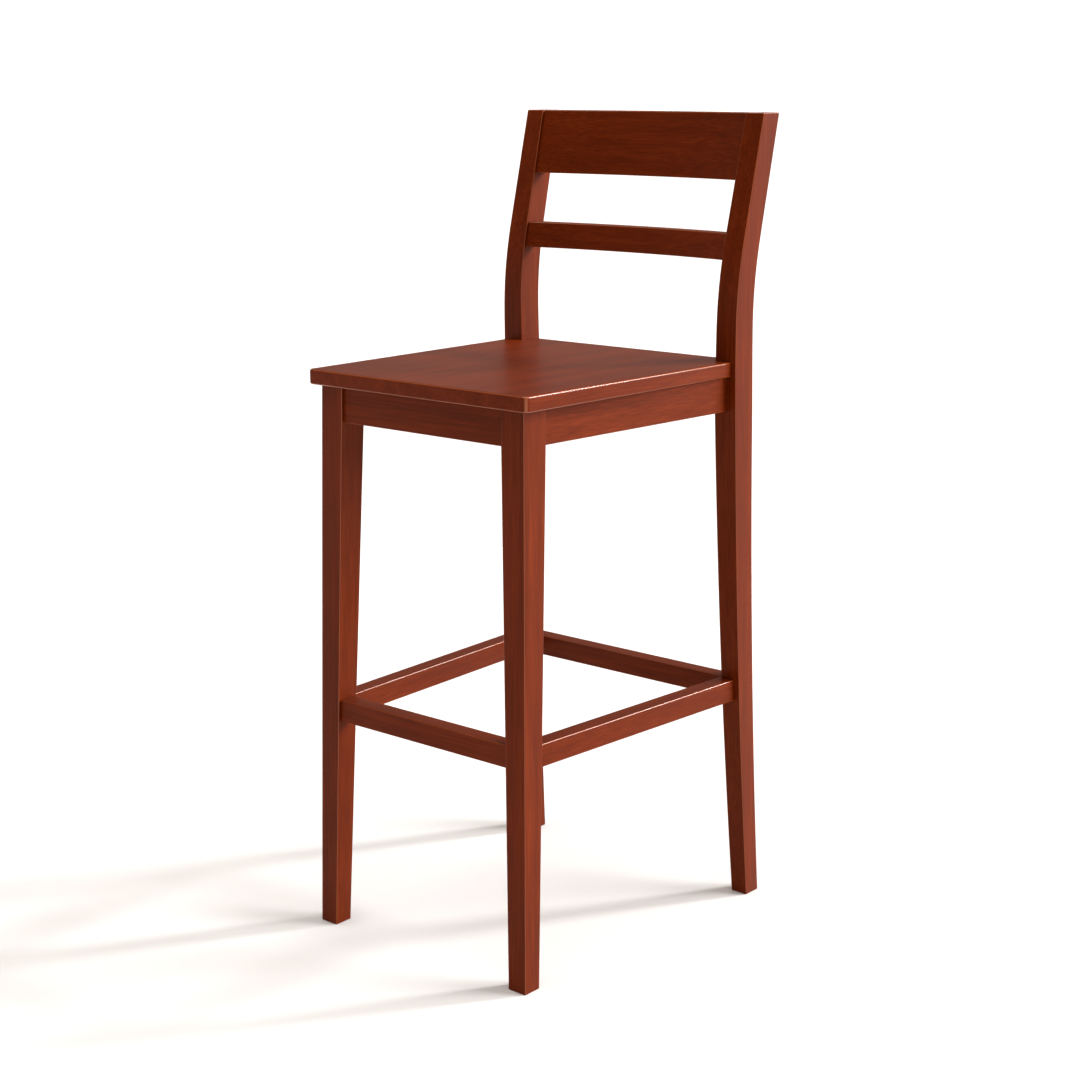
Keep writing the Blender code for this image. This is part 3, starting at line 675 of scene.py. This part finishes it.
def screw_tree():
    """Core, helical thread and domed head with a cross recess, joined at each point.

    The screw is built upright with its head down. One cutter takes off the dome's upper half.
    """
    tree = node_tree("pan head screws", (
        ("Geometry", "NodeSocketGeometry"), ("Length", "NodeSocketFloat"),
        ("Core radius", "NodeSocketFloat"), ("Head radius", "NodeSocketFloat"),
        ("Head height", "NodeSocketFloat"), ("Thread pitch", "NodeSocketFloat"),
        ("Thread depth", "NodeSocketFloat"), ("Material", "NodeSocketMaterial")))
    source = add_node(tree, "NodeGroupInput", {}).outputs
    half = calculate(tree, "MULTIPLY", source["Length"], 0.5)
    head_end = calculate(tree, "MULTIPLY", half, -1.0)

    core = add_node(tree, "GeometryNodeCurvePrimitiveLine", {
        "Start": add_node(tree, "ShaderNodeCombineXYZ", {"Z": calculate(
            tree, "ADD", head_end, CORE_SUNK)}).outputs[0],
        "End": add_node(tree, "ShaderNodeCombineXYZ", {"Z": half}).outputs[0]})
    core = add_node(tree, "GeometryNodeResampleCurve", {"Curve": core.outputs[0], "Count": 40})
    height = add_node(tree, "ShaderNodeSeparateXYZ", {
        "Vector": add_node(tree, "GeometryNodeInputPosition", {}).outputs[0]}).outputs["Z"]
    to_tip = calculate(tree, "SUBTRACT", half, height)
    taper = add_node(tree, "ShaderNodeMapRange", {
        "Value": to_tip, "From Min": 0.0, "From Max": TIP_LENGTH, "To Min": 0.08,
        "To Max": 1.0}, clamp=True).outputs["Result"]
    core = add_node(tree, "GeometryNodeSetCurveRadius", {
        "Curve": core.outputs[0], "Radius": taper})
    core_ring = add_node(tree, "GeometryNodeCurvePrimitiveCircle", {
        "Resolution": 24, "Radius": source["Core radius"]})
    core = add_node(tree, "GeometryNodeCurveToMesh", {
        "Curve": core.outputs[0], "Profile Curve": core_ring.outputs["Curve"],
        "Fill Caps": True})

    threaded = calculate(tree, "MULTIPLY", source["Length"], THREADED_SHARE)
    turns = calculate(tree, "DIVIDE", threaded, source["Thread pitch"])
    helix = add_node(tree, "GeometryNodeCurveSpiral", {
        "Resolution": 20, "Rotations": turns, "Start Radius": source["Core radius"],
        "End Radius": source["Core radius"], "Height": threaded})
    thread_end = calculate(tree, "SUBTRACT", half, TIP_RUNOUT)
    helix = add_node(tree, "GeometryNodeTransform", {
        "Geometry": helix.outputs[0],
        "Translation": add_node(tree, "ShaderNodeCombineXYZ", {"Z": calculate(
            tree, "SUBTRACT", thread_end, threaded)}).outputs[0]})
    ridge = add_node(tree, "GeometryNodeCurvePrimitiveCircle", {
        "Resolution": 4, "Radius": source["Thread depth"]})
    thread = add_node(tree, "GeometryNodeCurveToMesh", {
        "Curve": helix.outputs[0], "Profile Curve": ridge.outputs["Curve"],
        "Fill Caps": True})

    head_seat = calculate(tree, "ADD", head_end, source["Head height"])
    dome = add_node(tree, "GeometryNodeMeshUVSphere", {
        "Segments": 32, "Rings": 24, "Radius": source["Head radius"]})
    dome = add_node(tree, "GeometryNodeTransform", {
        "Geometry": dome.outputs["Mesh"],
        "Translation": add_node(tree, "ShaderNodeCombineXYZ", {"Z": head_seat}).outputs[0],
        "Scale": (1.0, 1.0, 0.70)})
    cutters = add_node(tree, "GeometryNodeJoinGeometry", {})
    for width, depth in ((RECESS_LONG, RECESS_WIDE), (RECESS_WIDE, RECESS_LONG)):
        slot_cut = add_node(tree, "GeometryNodeMeshCube", {
            "Size": (width, depth, RECESS_HEIGHT)})
        moved = add_node(tree, "GeometryNodeTransform", {
            "Geometry": slot_cut.outputs["Mesh"],
            "Translation": add_node(tree, "ShaderNodeCombineXYZ", {
                "Z": head_end}).outputs[0]})
        tree.links.new(moved.outputs[0], cutters.inputs[0])
    under = add_node(tree, "GeometryNodeMeshCube", {
        "Size": (CUTTER_SIZE, CUTTER_SIZE, CUTTER_SIZE)})
    under = add_node(tree, "GeometryNodeTransform", {
        "Geometry": under.outputs["Mesh"],
        "Translation": add_node(tree, "ShaderNodeCombineXYZ", {"Z": calculate(
            tree, "ADD", head_seat, CUTTER_SIZE / 2.0)}).outputs[0]})
    tree.links.new(under.outputs[0], cutters.inputs[0])
    head = add_node(tree, "GeometryNodeMeshBoolean", {
        "Mesh 1": dome.outputs[0], "Mesh 2": cutters.outputs[0]},
        operation="DIFFERENCE", solver="EXACT")
    head.inputs["Self Intersection"].default_value = True

    screw = add_node(tree, "GeometryNodeJoinGeometry", {})
    for part in (core, thread, head):
        tree.links.new(part.outputs[0], screw.inputs[0])
    close_tree(tree, source, set_on_points(tree, source, screw.outputs[0], source["Length"]))
    return tree


zinc = zinc_plate()
pan_head_screws = screw_tree()
for name, start, length in SCREWS:
    nodes = sorted(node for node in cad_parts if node.startswith(start))
    screws = grown(name, pan_head_screws, {
        "Length": length, "Core radius": SCREW_RADIUS - THREAD_DEPTH,
        "Head radius": SCREW_HEAD_RADIUS, "Head height": SCREW_HEAD_HEIGHT,
        "Thread pitch": THREAD_PITCH, "Thread depth": THREAD_DEPTH,
    }, zinc, peg_points(name + " places", nodes, driven_way))
    screws.data.set_sharp_from_angle(angle=CREASE)
    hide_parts(*nodes)


# ---------------------------------------------------------------- seat
# A flat board, 20 mm thick, a little narrower at the front, with rounded front corners and
# eased arrises. It is notched round the posts and screwed down from below.

SEAT_EASE = 0.003
SEAT_CORNER = 0.007
SEAT_TAPER = 0.010
SEAT_BACK_INSET = 0.009


def seat_outline():
    """Corners of the board: front corner arc, notch and back edge, then the same mirrored."""
    notch_y = post_front_y(SEAT_TOP) - JOINT_GAP
    notch_x = min(post_inner_x(SEAT_TOP), post_inner_x(seat_low.z)) - JOINT_GAP
    back_y = post_back_y(SEAT_TOP) - SEAT_BACK_INSET
    front_half = SEAT_BACK_HALF - SEAT_TAPER
    right = [(front_half - SEAT_CORNER * (1.0 - math.cos(a)),
              seat_low.y + SEAT_CORNER * (1.0 + math.sin(a)))
             for a in np.linspace(-math.pi / 2.0, 0.0, 9)]
    right += [(SEAT_BACK_HALF, notch_y), (notch_x, notch_y), (notch_x, back_y)]
    return right + [(-x, y) for x, y in reversed(right)]


data = bmesh.new()
rims = [[data.verts.new((x, y, z)) for x, y in seat_outline()] for z in (seat_low.z, SEAT_TOP)]
lower, upper = rims
for i in range(len(lower)):
    j = (i + 1) % len(lower)
    data.faces.new((lower[i], lower[j], upper[j], upper[i]))
for rim in rims:
    data.faces.new(rim)
seat = piece_from("seat_board", data, side_wood)
ease_arrises(seat, lambda way: abs(way.z) < 0.1, width=SEAT_EASE, segments=5)
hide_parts("seat_panel")


# ---------------------------------------------------------------- setting
# A pale matt floor that meets a bright horizon, under a dimmer and warmer ceiling. A broad
# key light and a narrower rim light come from the right and behind, and a wide fill comes
# from overhead.

FLOOR_HALF = 60.0
CAMERA_PLACE = (1.7268, LEG_LINE_Y - 1.8029, 1.1255)
CAMERA_TURN = (77.188, 0.0, 40.302)
# Name, strength, spread in degrees, and turn in degrees from shining straight down.
SUNS = (("key", 4.5, 30.0, (0.0, 70.0, 36.0)),
        ("rim", 3.0, 8.0, (0.0, 60.0, 58.0)),
        ("fill", 2.4, 70.0, (6.0, 0.0, 0.0)))

floor_data = bmesh.new()
bmesh.ops.create_grid(floor_data, x_segments=4, y_segments=4, size=FLOOR_HALF)
floor_mesh = bpy.data.meshes.new("floor")
floor_data.to_mesh(floor_mesh)
floor_data.free()
floor = bpy.data.objects.new("floor", floor_mesh)
bpy.context.scene.collection.objects.link(floor)
floor_paint = bpy.data.materials.new("pale matt floor")
floor_paint.use_nodes = True
floor_shader = floor_paint.node_tree.nodes["Principled BSDF"]
floor_shader.inputs["Base Color"].default_value = linear("#d2d2d1")
floor_shader.inputs["Roughness"].default_value = 0.9
floor_shader.inputs["Specular IOR Level"].default_value = 0.1
floor_mesh.materials.append(floor_paint)

world = bpy.data.worlds.new("studio")
bpy.context.scene.world = world
world.use_nodes = True
sky = world.node_tree
outwards = add_node(sky, "ShaderNodeTexCoord", {}).outputs["Generated"]
rise = add_node(sky, "ShaderNodeSeparateXYZ", {"Vector": outwards}).outputs["Z"]
band = scaled(sky, rise, 0.06, 0.20, 1.08, 0.30)
above = scaled(sky, rise, 0.12, 0.28, 0.0, 1.0)
tint = mixed(sky, above, linear("#fffdfa"), linear("#ffdabf"))
sky.links.new(tint, sky.nodes["Background"].inputs["Color"])
sky.links.new(band, sky.nodes["Background"].inputs["Strength"])

for name, strength, spread, turn in SUNS:
    sun = bpy.data.lights.new(name, "SUN")
    sun.energy = strength
    sun.angle = math.radians(spread)
    lamp = bpy.data.objects.new(name, sun)
    lamp.rotation_euler = [math.radians(angle) for angle in turn]
    bpy.context.scene.collection.objects.link(lamp)

camera = bpy.data.cameras.new("camera")
camera.lens = 67.704
camera.sensor_width = 36.0
camera.clip_end = 200.0
viewer = bpy.data.objects.new("camera", camera)
viewer.location = CAMERA_PLACE
viewer.rotation_euler = [math.radians(angle) for angle in CAMERA_TURN]
bpy.context.scene.collection.objects.link(viewer)
bpy.context.scene.camera = viewer
bpy.context.scene.view_settings.view_transform = "Standard"

bpy.context.view_layer.update()
